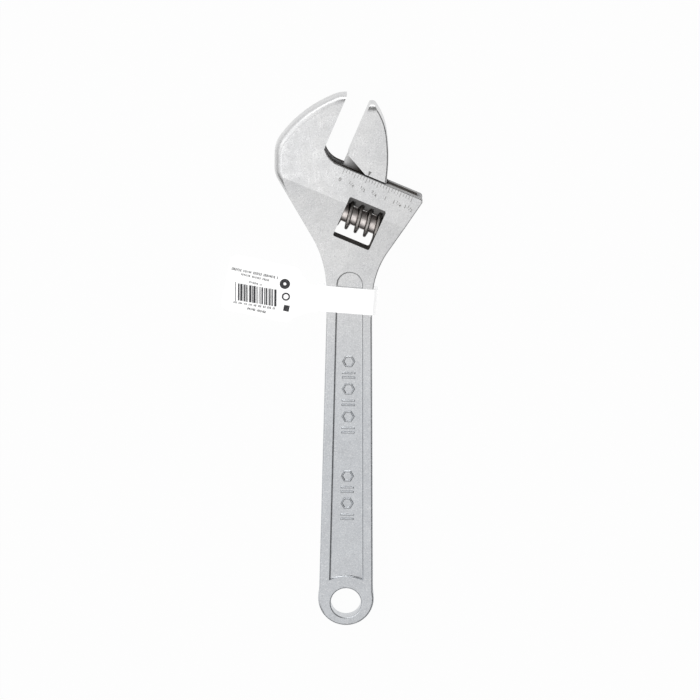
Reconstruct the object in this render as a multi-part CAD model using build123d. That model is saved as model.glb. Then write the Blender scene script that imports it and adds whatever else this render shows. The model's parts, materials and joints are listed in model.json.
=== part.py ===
from build123d import *
import math
import os

# Adjustable wrench, 12-inch class, lying flat on its faces.
# Origin: centre of the hanging hole, halfway through the thickness.
# +Y runs up the handle to the jaws, +X is the side of the movable jaw, +Z is the upper face.
# All lengths are in millimetres.

# Handle
HANDLE_THICK = 8.8
END_RADIUS = 13.8
END_CENTRE_Y = 1.4
HALF_WIDTH_LOW = 14.2
HALF_WIDTH_HIGH = 11.85
TAPER_LOW_Y = 6.0
TAPER_HIGH_Y = 158.0
HANDLE_JOIN_Y = 155.0
EDGE_ROUND = 1.1
HOLE_RADIUS = 8.0
HOLE_ROUND = 0.75

# Sunk panel on both faces of the handle, with raised marks on its floor
PANEL_DEPTH = 1.2
PANEL_COVE = 1.0
PANEL_LOW_Y = 12.4
PANEL_ARC_TOP_Y = 14.4
PANEL_LOW_HALF = 9.0
PANEL_HIGH_HALF = 6.9
PANEL_HIGH_Y = 172.2
MARK_HEIGHT = 0.6
MARK_DRAFT = 35.0
MARK_LINE = 1.2
MARK_RADIUS = 3.5
MARK_PITCH = 7.4
MARK_ROWS = ((131.0, 6), (69.2, 4))

# Head
HEAD_THICK = 16.0
SLIDE_TURN = 22.5
EDGE_ORIGIN = (-2.04, 234.58)
EDGE_RIGHT_S = 43.2
CREASE_N = -17.4
SLOPE_END_N = -58.0
FIXED_FACE_S = -14.8
FIXED_TIP_N = 34.6
JAW_BACK_ROUND = 3.8
TIP_ROLL = 5.3
TIP_ROLL_Y = 263.5
TIP_ROLL_LIFT = 0.05
HEAD_EDGE_ROUND = 0.6

# Movable jaw and its guide
MOUTH_OPEN = 12.7
GUIDE_N = -12.2
GUIDE_BORE_RADIUS = 6.35
SHANK_RADIUS = 6.2
SLOT_WIDTH = 7.0
NECK_WIDTH = 6.7
SHANK_RIGHT_S = 39.3
BLADE_LOW_N = 0.6
JAW_CORNER_N = 6.5
NECK_ROUND = 3.0
BLADE_BACK_ROUND = 0.9

# Adjusting worm, its pin and its spring
WINDOW_S = (7.3, 27.6)
WINDOW_N = (-36.0, -13.1)
WINDOW_ROUND = 1.0
WORM_N = -23.4
WORM_RADIUS = 7.95
WORM_ROOT_RADIUS = 4.7
WORM_LEAD = 5.15
THREAD_START = -4.15
WORM_S = (7.7, 27.2)
WORM_BORE_RADIUS = 2.6
CREST_WIDTH = 1.3
THREAD_ROOT_WIDTH = 2.6
PIN_RADIUS = 2.5
PIN_HEAD_RADIUS = 3.0
PIN_S = (1.6, 36.8)
PIN_HEAD_S = 29.2
PIN_GAP = 0.05
SPRING_POCKET_RADIUS = 3.8
SPRING_POCKET_LENGTH = 8.0
SPRING_WIRE = 0.7
SPRING_MEAN_RADIUS = 3.25
SPRING_TURNS = 4.5

# Rack cut into the underside of the shank
RACK_ROOT_N = -15.0
RACK_GAP_ROOT = 1.9
RACK_GAP_TIP = 3.6
RACK_SLANT = 0.11
RACK_PHASE_S = WORM_S[0] + THREAD_START + WORM_LEAD / 4 - WORM_LEAD
RACK_GAPS = 7

# Retail label of folded film: a band round the handle, and a flag to one side
LABEL_FILM = 0.4
LABEL_GAP = 0.2
LABEL_EASE = 0.5
BAND_Y = (157.0, 170.6)
BAND_TILT = 4.0
BAND_BULGE = 1.3
FLAG_CENTRE = (-45.8, 168.6)
FLAG_SIZE = (38.0, 30.0)
FLAG_TURN = -12.0
FLAG_ROUND = 4.0
NECK_LOW = (-14.4, 157.2)
NECK_HIGH = (-14.4, 170.0)

FAR = 60.0


def slide_frame():
    """Plane whose x runs along the jaw's slide and whose y points at the jaw tips."""
    turn = math.radians(SLIDE_TURN)
    return Plane(
        origin=(EDGE_ORIGIN[0], EDGE_ORIGIN[1], 0),
        x_dir=(math.cos(turn), -math.sin(turn), 0),
        z_dir=(0, 0, 1),
    )


SLIDE = slide_frame()


def at_slide(s, n):
    """Plan position of a point given along and across the slide."""
    point = SLIDE.from_local_coords(Vector(s, n, 0))
    return (point.X, point.Y)


def in_slide(shape):
    """Move a shape modelled along and across the slide into the wrench's frame."""
    return SLIDE.location * shape


def face_of(edges):
    """Flat face inside a closed chain of edges."""
    return make_face(Wire.combine([edge for curve in edges for edge in curve.edges()])[0])


def slab(face, low, high):
    """Straight block over a flat face, from one height to another."""
    return Pos(0, 0, low) * extrude(face, high - low)


def along_slide(radius, low, high, n):
    """Cylinder along the slide, in the slide's own axes."""
    middle = Location((low, n, 0), (0, 90, 0))
    round_bar = Cylinder(radius, high - low, align=(Align.CENTER, Align.CENTER, Align.MIN))
    return middle * round_bar


def head_outline():
    """Plan of the head with the fixed jaw, open towards the movable jaw."""
    neck_left = FilletPolyline(
        (-HALF_WIDTH_HIGH, HANDLE_JOIN_Y),
        (-12.3, 184.7),
        (-39.4, 230.7),
        (-39.4, 241.0),
        radius=[56.0, 12.0],
    )
    shoulder = ThreePointArc((-39.4, 241.0), (-38.7, 245.2), (-36.7, 249.1))
    back = ThreePointArc((-36.7, 249.1), (-24.9, 261.6), (-9.4, 270.9))
    tip_start = at_slide(FIXED_FACE_S, FIXED_TIP_N)
    nose = ThreePointArc((-9.4, 270.9), (-6.0, 272.0), tip_start)
    face_low = at_slide(FIXED_FACE_S, 5.5)
    jaw_face = Line(tip_start, face_low)
    edge_start = at_slide(-4.0, 0)
    throat = ThreePointArc(face_low, at_slide(-10.6, 1.5), edge_start)
    right_side = FilletPolyline(
        edge_start,
        at_slide(EDGE_RIGHT_S, 0),
        (12.3, 178.6),
        (HALF_WIDTH_HIGH, HANDLE_JOIN_Y),
        radius=[1.6, 48.0],
    )
    closing = Line((HALF_WIDTH_HIGH, HANDLE_JOIN_Y), (-HALF_WIDTH_HIGH, HANDLE_JOIN_Y))
    return face_of([neck_left, shoulder, back, nose, jaw_face, throat, right_side, closing])


def handle_outline():
    """Plan of the handle: a round end and two straight, slightly tapering sides."""
    sides = Polyline(
        (-HALF_WIDTH_LOW, TAPER_LOW_Y),
        (-HALF_WIDTH_HIGH, TAPER_HIGH_Y),
        (HALF_WIDTH_HIGH, TAPER_HIGH_Y),
        (HALF_WIDTH_LOW, TAPER_LOW_Y),
    )
    end = ThreePointArc(
        (HALF_WIDTH_LOW, TAPER_LOW_Y),
        (0, END_CENTRE_Y - END_RADIUS),
        (-HALF_WIDTH_LOW, TAPER_LOW_Y),
    )
    return face_of([sides, end])


def is_plan_edge(edge, height):
    """True for an edge that lies flat at the given height above or below the middle."""
    box = edge.bounding_box()
    return abs(abs(box.min.Z) - height) < 0.01 and abs(box.max.Z - box.min.Z) < 0.01


def handle_blank():
    """Handle bar with rounded long edges."""
    bar = slab(handle_outline(), -HANDLE_THICK / 2, HANDLE_THICK / 2)
    rims = [edge for edge in bar.edges() if is_plan_edge(edge, HANDLE_THICK / 2)]
    rims = [edge for edge in rims if edge.center().Y < TAPER_HIGH_Y - 0.1]
    return fillet(rims, EDGE_ROUND)


def head_blank():
    """Head at full thickness, with the well-rounded back of the fixed jaw."""
    block = slab(head_outline(), -HEAD_THICK / 2, HEAD_THICK / 2)
    for side in (1, -1):
        rims = [edge for edge in block.edges() if is_plan_edge(edge, HEAD_THICK / 2)]
        rims = [edge for edge in rims if edge.center().Z * side > 0]
        outer = [edge for edge in rims if edge.center().Y > 243 and edge.center().X < 0]
        outer = [edge for edge in outer if edge.geom_type == GeomType.CIRCLE]
        outer = [edge for edge in outer if SLIDE.to_local_coords(edge.center()).X < FIXED_FACE_S]
        block = fillet(outer, JAW_BACK_ROUND)
    return block


def rounded_rims(forging):
    """Head with its sharp rims rounded, from the throat round to the right of the neck."""
    for side in (1, -1):
        rims = []
        for edge in forging.edges():
            middle = edge.center()
            across = SLIDE.to_local_coords(middle).Y
            high = middle.Z * side > HANDLE_THICK / 2 - 0.1
            on_rim = min(abs(across - CREASE_N), abs(across - SLOPE_END_N)) > 0.3
            throat_side = -14 < middle.X < 0 and 232 < middle.Y < 246
            right_side = middle.X > 0.5 and middle.Y > HANDLE_JOIN_Y + 1
            if high and on_rim and (throat_side or right_side):
                rims.append(edge)
        forging = fillet(rims, HEAD_EDGE_ROUND)
    return forging


def neck_slopes():
    """Hollow sweeps that bring both faces down from the head to the thinner handle."""
    half_head = HEAD_THICK / 2
    half_handle = HANDLE_THICK / 2
    run = CREASE_N - SLOPE_END_N
    rise = half_head - half_handle
    radius = (run**2 + rise**2) / (2 * rise)
    past_crease = run + 2.0
    end_height = half_handle + radius - math.sqrt(radius**2 - past_crease**2)
    sweep_end = (SLOPE_END_N + past_crease, end_height)
    outline = [
        RadiusArc((SLOPE_END_N, half_handle), sweep_end, -radius),
        Line(sweep_end, (SLOPE_END_N - FAR, end_height)),
        Line((SLOPE_END_N - FAR, end_height), (SLOPE_END_N - FAR, half_handle)),
        Line((SLOPE_END_N - FAR, half_handle), (SLOPE_END_N, half_handle)),
    ]
    side_view = Plane(origin=(-2 * FAR, 0, 0), x_dir=(0, 1, 0), z_dir=(1, 0, 0))
    hollow = extrude(side_view * face_of(outline), 4 * FAR)
    upper = in_slide(hollow)
    return [upper, upper.mirror(Plane.XY)]


def panel_outline():
    """Plan of the sunk panel: round at the top, hollowed round the hole at the bottom."""
    left_low = (-PANEL_LOW_HALF, PANEL_LOW_Y)
    right_low = (PANEL_LOW_HALF, PANEL_LOW_Y)
    left_high = (-PANEL_HIGH_HALF, PANEL_HIGH_Y)
    right_high = (PANEL_HIGH_HALF, PANEL_HIGH_Y)
    outline = [
        Line(left_low, left_high),
        ThreePointArc(left_high, (0, PANEL_HIGH_Y + PANEL_HIGH_HALF), right_high),
        Line(right_high, right_low),
        ThreePointArc(right_low, (0, PANEL_ARC_TOP_Y), left_low),
    ]
    return face_of(outline)


def drafted(face, draft):
    """Low block over a face, narrower at its top for a positive draft."""
    return extrude(face, MARK_HEIGHT, taper=draft)


def forging_marks():
    """Rows of plain hexagon rings and bars with sloping sides, standing on the height z = 0."""
    marks = []
    for start_y, count in MARK_ROWS:
        for index in range(count):
            centre = Pos(0, start_y - index * MARK_PITCH, 0)
            if index % 2 == 0:
                ring = drafted(RegularPolygon(MARK_RADIUS, 6), MARK_DRAFT)
                ring -= drafted(RegularPolygon(MARK_RADIUS - MARK_LINE, 6), -MARK_DRAFT)
                marks.append(centre * ring)
            else:
                bar = drafted(Rectangle(2 * MARK_RADIUS, MARK_LINE), MARK_DRAFT)
                marks.append(centre * Pos(0, MARK_LINE, 0) * bar)
                marks.append(centre * Pos(0, -MARK_LINE, 0) * bar)
    return marks


def sunk_panels():
    """Tools that sink the panels, one per face, with coved walls, leaving the raised marks."""
    floor = HANDLE_THICK / 2 - PANEL_DEPTH
    cutter = slab(panel_outline(), floor, floor + HEAD_THICK)
    foot = [edge for edge in cutter.edges() if is_plan_edge(edge, floor)]
    cutter = fillet(foot, PANEL_COVE)
    for mark in forging_marks():
        cutter -= Pos(0, 0, floor) * mark
    return [cutter, cutter.mirror(Plane.XY)]


def hang_hole():
    """Hole tool with flared rims."""
    half = HANDLE_THICK / 2
    profile = [
        Line((0, -half - 1), (HOLE_RADIUS + HOLE_ROUND, -half - 1)),
        Line((HOLE_RADIUS + HOLE_ROUND, -half - 1), (HOLE_RADIUS + HOLE_ROUND, -half)),
        RadiusArc((HOLE_RADIUS + HOLE_ROUND, -half), (HOLE_RADIUS, -half + HOLE_ROUND), HOLE_ROUND),
        Line((HOLE_RADIUS, -half + HOLE_ROUND), (HOLE_RADIUS, half - HOLE_ROUND)),
        RadiusArc((HOLE_RADIUS, half - HOLE_ROUND), (HOLE_RADIUS + HOLE_ROUND, half), HOLE_ROUND),
        Line((HOLE_RADIUS + HOLE_ROUND, half), (HOLE_RADIUS + HOLE_ROUND, half + 1)),
        Line((HOLE_RADIUS + HOLE_ROUND, half + 1), (0, half + 1)),
        Line((0, half + 1), (0, -half - 1)),
    ]
    return revolve(Plane.XZ * face_of(profile), Axis.Z)


def guide_cuts():
    """Bore and slot for the jaw's shank, in the slide's own axes."""
    left = FIXED_FACE_S - 0.4
    bore = along_slide(GUIDE_BORE_RADIUS, left, 2 * FAR, GUIDE_N)
    slot = Pos((left + FAR) / 2, GUIDE_N / 2 + 10, 0) * Box(FAR - left, 20 - GUIDE_N, SLOT_WIDTH)
    return [bore, slot]


def window_cut():
    """Square window for the worm, in the slide's own axes."""
    width = WINDOW_S[1] - WINDOW_S[0]
    height = WINDOW_N[1] - WINDOW_N[0]
    middle = Pos(sum(WINDOW_S) / 2, sum(WINDOW_N) / 2)
    opening = middle * RectangleRounded(width, height, WINDOW_ROUND)
    return slab(opening, -HEAD_THICK, HEAD_THICK)


def pin_holes():
    """Blind hole, and the wider hole that the pin goes in by, in the slide's own axes."""
    blind = along_slide(PIN_RADIUS + PIN_GAP, PIN_S[0] - 0.3, PIN_HEAD_S, WORM_N)
    entry = along_slide(PIN_HEAD_RADIUS + PIN_GAP, PIN_HEAD_S - PIN_GAP, FAR, WORM_N)
    return [blind, entry]


def make_body():
    """Handle, head and fixed jaw in one forging."""
    forging = head_blank()
    for wedge in neck_slopes():
        forging -= wedge
    forging = rounded_rims(forging) + handle_blank()
    for cutter in guide_cuts() + [window_cut()] + pin_holes():
        forging -= in_slide(cutter)
    for cutter in sunk_panels() + [hang_hole()]:
        forging -= cutter
    return forging


def blade_outline():
    """Plan of the movable jaw above the slide, along and across it."""
    face_s = FIXED_FACE_S + MOUTH_OPEN
    tip = ThreePointArc((1.2, 35.0), (-0.9, 35.4), (face_s, 34.4))
    face = Line((face_s, 34.4), (face_s, JAW_CORNER_N))
    relief = Polyline((face_s, JAW_CORNER_N), (9.8, BLADE_LOW_N), (21.7, BLADE_LOW_N))
    back_low = ThreePointArc((21.7, BLADE_LOW_N), (17.6, 13.0), (11.8, 24.4))
    back_high = TangentArc(back_low @ 1, (1.2, 35.0), tangent=back_low % 1)
    return face_of([tip, face, relief, back_low, back_high])


def web_outline():
    """Narrow web that joins the blade to the shank and fills the slot."""
    face_s = FIXED_FACE_S + MOUTH_OPEN
    return make_face(
        FilletPolyline(
            (face_s, JAW_CORNER_N + 2),
            (face_s, GUIDE_N),
            (SHANK_RIGHT_S, GUIDE_N),
            (SHANK_RIGHT_S, 0),
            (22.6, 0),
            (18.0, JAW_CORNER_N + 2),
            close=True,
            radius=[0, 0, 0, 0, NECK_ROUND, 0],
        )
    )


def rack_gap():
    """Slanted, tapered groove between two rack teeth."""
    bottom = GUIDE_N - SHANK_RADIUS
    flare = (RACK_GAP_TIP - RACK_GAP_ROOT) / (RACK_ROOT_N - bottom)
    low = bottom - 1
    half_low = (RACK_GAP_TIP + flare) / 2
    half_root = RACK_GAP_ROOT / 2
    points = [(-half_root, RACK_ROOT_N), (half_root, RACK_ROOT_N), (half_low, low), (-half_low, low)]
    profile = make_face(Polyline(*points, close=True))
    depth = HEAD_THICK / 2
    start = Pos(-RACK_SLANT * depth, 0, -depth) * profile
    return extrude(start, 2 * depth * math.sqrt(1 + RACK_SLANT**2), dir=(RACK_SLANT, 0, 1))


def tip_rolls():
    """Tools that roll the blade's tip off on both faces, meeting each face at a slight angle."""
    centre_z = HEAD_THICK / 2 + TIP_ROLL_LIFT - TIP_ROLL
    corner = Pos(0, TIP_ROLL_Y + FAR / 2, centre_z + FAR / 2) * Box(2 * FAR, FAR, FAR)
    corner -= Pos(0, TIP_ROLL_Y, centre_z) * Rot(0, 90, 0) * Cylinder(TIP_ROLL, 3 * FAR)
    return [corner, corner.mirror(Plane.XY)]


def make_jaw():
    """Movable jaw: blade, web and toothed shank."""
    face_s = FIXED_FACE_S + MOUTH_OPEN
    blade = slab(blade_outline(), -HEAD_THICK / 2, HEAD_THICK / 2)
    for side in (1, -1):
        rims = [edge for edge in blade.edges() if is_plan_edge(edge, HEAD_THICK / 2)]
        rims = [edge for edge in rims if edge.center().Z * side > 0]
        rims = [edge for edge in rims if edge.geom_type == GeomType.CIRCLE]
        blade = fillet([edge for edge in rims if edge.center().X > 3], BLADE_BACK_ROUND)
    shank = along_slide(SHANK_RADIUS, face_s, SHANK_RIGHT_S, GUIDE_N)
    web = slab(web_outline(), -NECK_WIDTH / 2, NECK_WIDTH / 2)
    jaw = blade + web + shank
    for index in range(-1, RACK_GAPS + 1):
        jaw -= Pos(RACK_PHASE_S + index * WORM_LEAD, 0, 0) * rack_gap()
    jaw = in_slide(jaw)
    for tool in tip_rolls():
        jaw -= tool
    return jaw


def worm_thread():
    """Right-hand thread of the worm about +Z, longer than the worm at both ends."""
    length = WORM_S[1] - WORM_S[0]
    inner = WORM_ROOT_RADIUS - 0.3
    half_root = THREAD_ROOT_WIDTH / 2
    half_crest = CREST_WIDTH / 2
    path = Helix(WORM_LEAD, length + 2 * WORM_LEAD, WORM_ROOT_RADIUS, center=(0, 0, THREAD_START))
    points = [
        (inner, -half_root + THREAD_START),
        (WORM_RADIUS - 0.4, -half_crest - 0.15 + THREAD_START),
        (WORM_RADIUS, -half_crest + 0.3 + THREAD_START),
        (WORM_RADIUS, half_crest - 0.3 + THREAD_START),
        (WORM_RADIUS - 0.4, half_crest + 0.15 + THREAD_START),
        (inner, half_root + THREAD_START),
    ]
    profile = Plane.XZ * make_face(Polyline(*points, close=True))
    return sweep(profile, path=path, is_frenet=True)


def make_worm():
    """Knurled adjusting worm on its bore, with the pocket for the spring."""
    length = WORM_S[1] - WORM_S[0]
    base = (Align.CENTER, Align.CENTER, Align.MIN)
    thread = worm_thread() & Cylinder(WORM_RADIUS + 1, length, align=base)
    worm = Cylinder(WORM_ROOT_RADIUS, length, align=base) + thread
    worm -= Pos(0, 0, -1) * Cylinder(WORM_BORE_RADIUS, length + 2, align=base)
    worm -= Pos(0, 0, -1) * Cylinder(SPRING_POCKET_RADIUS, SPRING_POCKET_LENGTH + 1, align=base)
    return in_slide(Location((WORM_S[0], WORM_N, 0), (0, 90, 0)) * worm)


def make_pin():
    """Plain pin with a wider slotted head."""
    pin = along_slide(PIN_RADIUS, PIN_S[0], PIN_HEAD_S + 0.5, WORM_N)
    pin += along_slide(PIN_HEAD_RADIUS, PIN_HEAD_S, PIN_S[1], WORM_N)
    slot = Pos(PIN_S[1], WORM_N, 0) * Box(2.0, 1.0, 8.0)
    return in_slide(pin - slot)


def make_spring():
    """Compression spring in the worm's pocket, with its wire as one coil."""
    start = WINDOW_S[0] + SPRING_WIRE / 2 + 0.1
    length = WORM_S[0] + SPRING_POCKET_LENGTH - start - SPRING_WIRE / 2 - 0.1
    path = Helix(length / SPRING_TURNS, length, SPRING_MEAN_RADIUS)
    wire = Plane(origin=path @ 0, z_dir=path % 0) * Circle(SPRING_WIRE / 2)
    coil = sweep(wire, path=path, is_frenet=True)
    return in_slide(Location((start, WORM_N, 0), (0, 90, 0)) * coil)


def make_label():
    """Folded film label: band round the handle, neck and rounded flag."""
    inner_half = HALF_WIDTH_HIGH + LABEL_EASE + LABEL_GAP
    inner_top = HANDLE_THICK / 2 + LABEL_GAP
    middle_y = sum(BAND_Y) / 2
    width = BAND_Y[1] - BAND_Y[0]
    outer = Box(2 * inner_half + LABEL_FILM + BAND_BULGE + 1, width, 2 * (inner_top + LABEL_FILM))
    outer = Pos((BAND_BULGE + 1 - LABEL_FILM) / 2 + 0.1, 0, 0) * outer
    inner = Box(2 * inner_half + BAND_BULGE + 1, 3 * width, 2 * inner_top)
    inner = Pos((BAND_BULGE + 1) / 2 - 0.2, 0, 0) * inner
    band = Pos(0, middle_y, 0) * Rot(0, 0, -BAND_TILT) * (outer - inner)
    flag = Rot(0, 0, FLAG_TURN) * RectangleRounded(*FLAG_SIZE, FLAG_ROUND)
    flag = Pos(*FLAG_CENTRE) * flag
    neck = make_face(Polyline((-30.0, 158.2), NECK_LOW, NECK_HIGH, (-30.0, 173.0), close=True))
    tab = Polyline(NECK_LOW, (-12.5, 157.2), (-12.9, 169.9), NECK_HIGH, close=True)
    film = flag + neck + make_face(tab)
    return band + slab(film, -LABEL_FILM / 2, LABEL_FILM / 2)


def write(name, shape):
    """Save one part under its node name."""
    export_step(shape, os.path.join("parts", name + ".step"))


os.makedirs("parts", exist_ok=True)
write("body", make_body())
write("movable_jaw", make_jaw())
write("worm", make_worm())
write("worm_pin", make_pin())
write("worm_spring", make_spring())
write("hang_label", make_label())
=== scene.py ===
import json
import math
import random

import bpy
from mathutils import Matrix, Vector


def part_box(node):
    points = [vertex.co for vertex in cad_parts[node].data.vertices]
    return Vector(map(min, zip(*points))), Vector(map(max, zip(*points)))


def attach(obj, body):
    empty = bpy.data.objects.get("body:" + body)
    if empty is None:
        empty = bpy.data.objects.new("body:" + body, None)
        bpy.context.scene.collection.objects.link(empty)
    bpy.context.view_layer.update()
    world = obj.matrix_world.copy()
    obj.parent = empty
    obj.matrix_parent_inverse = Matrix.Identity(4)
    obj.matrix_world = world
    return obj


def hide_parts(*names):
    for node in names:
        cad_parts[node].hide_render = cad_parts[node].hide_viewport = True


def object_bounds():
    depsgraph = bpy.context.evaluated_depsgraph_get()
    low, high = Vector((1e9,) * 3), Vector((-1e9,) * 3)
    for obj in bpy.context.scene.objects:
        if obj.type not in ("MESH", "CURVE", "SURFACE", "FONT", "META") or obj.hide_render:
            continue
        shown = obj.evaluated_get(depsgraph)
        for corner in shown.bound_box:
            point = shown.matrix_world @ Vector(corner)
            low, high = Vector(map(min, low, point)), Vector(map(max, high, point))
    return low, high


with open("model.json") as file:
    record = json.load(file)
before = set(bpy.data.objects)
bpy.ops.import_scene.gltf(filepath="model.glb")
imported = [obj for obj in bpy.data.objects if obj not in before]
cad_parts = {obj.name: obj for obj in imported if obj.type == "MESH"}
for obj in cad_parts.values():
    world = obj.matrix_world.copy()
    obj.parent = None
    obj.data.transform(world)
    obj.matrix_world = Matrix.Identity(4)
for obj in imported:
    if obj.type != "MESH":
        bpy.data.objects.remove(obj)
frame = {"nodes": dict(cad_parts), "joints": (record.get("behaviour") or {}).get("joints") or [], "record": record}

bl_info = {
    "name": "Adjustable wrench",
    "version": (1, 0, 0),
    "blender": (4, 5, 0),
    "location": "3D View > Sidebar > Wrench",
    "description": "Finishes, etched scale, folded label and studio for an adjustable wrench",
    "category": "Object",
}

MM = 0.001
CAD_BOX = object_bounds()
UP = Vector((0, 0, 1))


def joint(name):
    """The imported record's joint of that name."""
    return next(j for j in frame["joints"] if j["name"] == name)


def mount_place(name):
    """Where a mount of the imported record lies."""
    return Vector(next(m for m in frame["record"]["mounts"] if m["name"] == name)["pos_m"])


# The slide's own axes: s runs along the jaw's travel, n points at the jaw tips.
# Both are zero on the scale's edge, below the resting movable jaw.
SLIDE = Vector(joint("jaw_slide")["axis"]).normalized()
ACROSS = UP.cross(SLIDE)
WORM_AXIS = Vector(joint("worm_turn")["pos_m"])
FIXED_FACE_S = -14.8 * MM
FIXED_FACE_N = 18.0 * MM
EDGE = mount_place("fixed_jaw_face") - SLIDE * FIXED_FACE_S - ACROSS * FIXED_FACE_N
FACE_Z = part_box("movable_jaw")[1].z
SLIDE_FRAME = Matrix.Translation(EDGE) @ Matrix((SLIDE, ACROSS, UP)).transposed().to_4x4()


# ---------------------------------------------------------------- settings

class WrenchSizes(bpy.types.PropertyGroup):
    """Sizes of the pieces made here."""

    tick_pitch: bpy.props.FloatProperty(
        name="Scale division", description="One sixteenth of an inch on the scale",
        default=1.5875 * MM, unit="LENGTH")
    tick_width: bpy.props.FloatProperty(
        name="Tick width", description="Width of an etched line",
        default=0.26 * MM, unit="LENGTH")
    digit_height: bpy.props.FloatProperty(
        name="Figure height", description="Height of the scale's figures",
        default=2.1 * MM, unit="LENGTH")
    etch_depth: bpy.props.FloatProperty(
        name="Etch thickness", description="Thickness of the dark infill of an etched line",
        default=0.03 * MM, unit="LENGTH")
    film: bpy.props.FloatProperty(
        name="Film", description="Thickness of the label's film",
        default=0.16 * MM, unit="LENGTH")
    band_width: bpy.props.FloatProperty(
        name="Band width", description="Width of the label's band along the handle",
        default=13.6 * MM, unit="LENGTH")
    band_tilt: bpy.props.FloatProperty(
        name="Band tilt", description="How far the band is turned on the handle",
        default=math.radians(-4.0), unit="ROTATION")


class WrenchColours(bpy.types.PropertyGroup):
    """Base colours of the finishes."""

    plate: bpy.props.FloatVectorProperty(
        name="Plate", description="Satin plate on the head", subtype="COLOR",
        size=4, default=(0.66, 0.66, 0.66, 1))
    plate_cool: bpy.props.FloatVectorProperty(
        name="Plate, handle", description="Cooler satin plate low on the handle", subtype="COLOR",
        size=4, default=(0.59, 0.61, 0.635, 1))
    # Colour of the painted shade on the walls of the throat, the guide and the window, and on the movable jaw's
    # web and shank.
    oiled: bpy.props.FloatVectorProperty(
        name="Oiled steel", description="Machined walls and worm", subtype="COLOR",
        size=4, default=(0.032, 0.026, 0.022, 1))
    etch: bpy.props.FloatVectorProperty(
        name="Etch", description="Etched lines", subtype="COLOR",
        size=4, default=(0.27, 0.262, 0.255, 1))
    film: bpy.props.FloatVectorProperty(
        name="Film", description="White label film", subtype="COLOR",
        size=4, default=(0.96, 0.96, 0.957, 1))
    ink: bpy.props.FloatVectorProperty(
        name="Ink", description="Print on the label", subtype="COLOR",
        size=4, default=(0.03, 0.03, 0.035, 1))
    grey_ink: bpy.props.FloatVectorProperty(
        name="Grey ink", description="Small print on the label", subtype="COLOR",
        size=4, default=(0.17, 0.17, 0.175, 1))


def sizes():
    """The scene's size settings."""
    return bpy.context.scene.wrench_sizes


def colours():
    """The scene's colour settings."""
    return bpy.context.scene.wrench_colours


# ---------------------------------------------------------------- node helpers

class Network:
    """A node tree under construction, with short calls for its nodes."""

    def __init__(self, tree, coordinates):
        self.nodes = tree.nodes
        self.links = tree.links
        self.place = self.add("ShaderNodeTexCoord").outputs[coordinates]

    def add(self, kind, **settings):
        """New node with its settings."""
        node = self.nodes.new(kind)
        for key, value in settings.items():
            setattr(node, key, value)
        return node

    def feed(self, socket, value):
        """Link or set one input socket."""
        if isinstance(value, bpy.types.NodeSocket):
            self.links.new(value, socket)
        else:
            socket.default_value = value

    def sum(self, operation, *values):
        """Scalar arithmetic."""
        node = self.add("ShaderNodeMath", operation=operation)
        for index, value in enumerate(values):
            self.feed(node.inputs[index], value)
        return node.outputs[0]

    def dot(self, vector, direction):
        """Length of a vector along a fixed direction."""
        node = self.add("ShaderNodeVectorMath", operation="DOT_PRODUCT")
        self.feed(node.inputs[0], vector)
        node.inputs[1].default_value = direction
        return node.outputs["Value"]

    def stretch(self, scale, rotation=(0, 0, 0)):
        """Object coordinates, scaled and turned."""
        node = self.add("ShaderNodeMapping")
        self.feed(node.inputs["Vector"], self.place)
        node.inputs["Scale"].default_value = scale
        node.inputs["Rotation"].default_value = rotation
        return node.outputs[0]

    def noise(self, scale, detail=3.0, vector=None, roughness=0.5):
        """Noise from 0 to 1."""
        node = self.add("ShaderNodeTexNoise")
        self.feed(node.inputs["Vector"], vector or self.place)
        node.inputs["Scale"].default_value = scale
        node.inputs["Detail"].default_value = detail
        node.inputs["Roughness"].default_value = roughness
        return node.outputs["Fac"]

    def cells(self, scale, vector=None):
        """Distance inside random cells."""
        node = self.add("ShaderNodeTexVoronoi")
        self.feed(node.inputs["Vector"], vector or self.place)
        node.inputs["Scale"].default_value = scale
        return node.outputs["Distance"]

    def span(self, value, low, high, to_low=0.0, to_high=1.0, smooth=False):
        """Map one range onto another, clamped."""
        node = self.add("ShaderNodeMapRange")
        node.interpolation_type = "SMOOTHSTEP" if smooth else "LINEAR"
        self.feed(node.inputs["Value"], value)
        for key, number in (("From Min", low), ("From Max", high), ("To Min", to_low), ("To Max", to_high)):
            node.inputs[key].default_value = number
        return node.outputs[0]

    def mix(self, factor, first, second, blend="MIX"):
        """Blend of two colours."""
        node = self.add("ShaderNodeMix", data_type="RGBA", blend_type=blend)
        self.feed(node.inputs["Factor"], factor)
        self.feed(node.inputs[6], first)
        self.feed(node.inputs[7], second)
        return node.outputs[2]

    def bump(self, height, distance, strength=1.0, below=None):
        """Bump that may stack on another."""
        node = self.add("ShaderNodeBump")
        node.inputs["Strength"].default_value = strength
        node.inputs["Distance"].default_value = distance
        self.feed(node.inputs["Height"], height)
        if below is not None:
            self.feed(node.inputs["Normal"], below)
        return node.outputs[0]

    def band(self, value, low, high, soft):
        """One inside low to high, with soft edges."""
        rise = self.span(value, low - soft, low + soft)
        fall = self.span(value, high - soft, high + soft, 1.0, 0.0)
        return self.sum("MULTIPLY", rise, fall)


class Finish(Network):
    """A material under construction."""

    def __init__(self, name):
        self.material = bpy.data.materials.new(name)
        self.material.use_nodes = True
        super().__init__(self.material.node_tree, "Object")
        self.shader = self.nodes["Principled BSDF"]

    def slide_coordinates(self):
        """Along and across the slide, in metres, from the scale's edge."""
        along = self.sum("SUBTRACT", self.dot(self.place, SLIDE), EDGE.dot(SLIDE))
        across = self.sum("SUBTRACT", self.dot(self.place, ACROSS), EDGE.dot(ACROSS))
        return along, across

    def upright(self):
        """One on walls that stand up, zero on the flat faces."""
        normal = self.add("ShaderNodeNewGeometry").outputs["True Normal"]
        return self.span(self.sum("ABSOLUTE", self.dot(normal, UP)), 0.25, 0.6, 1.0, 0.0)


# ---------------------------------------------------------------- finishes

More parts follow.
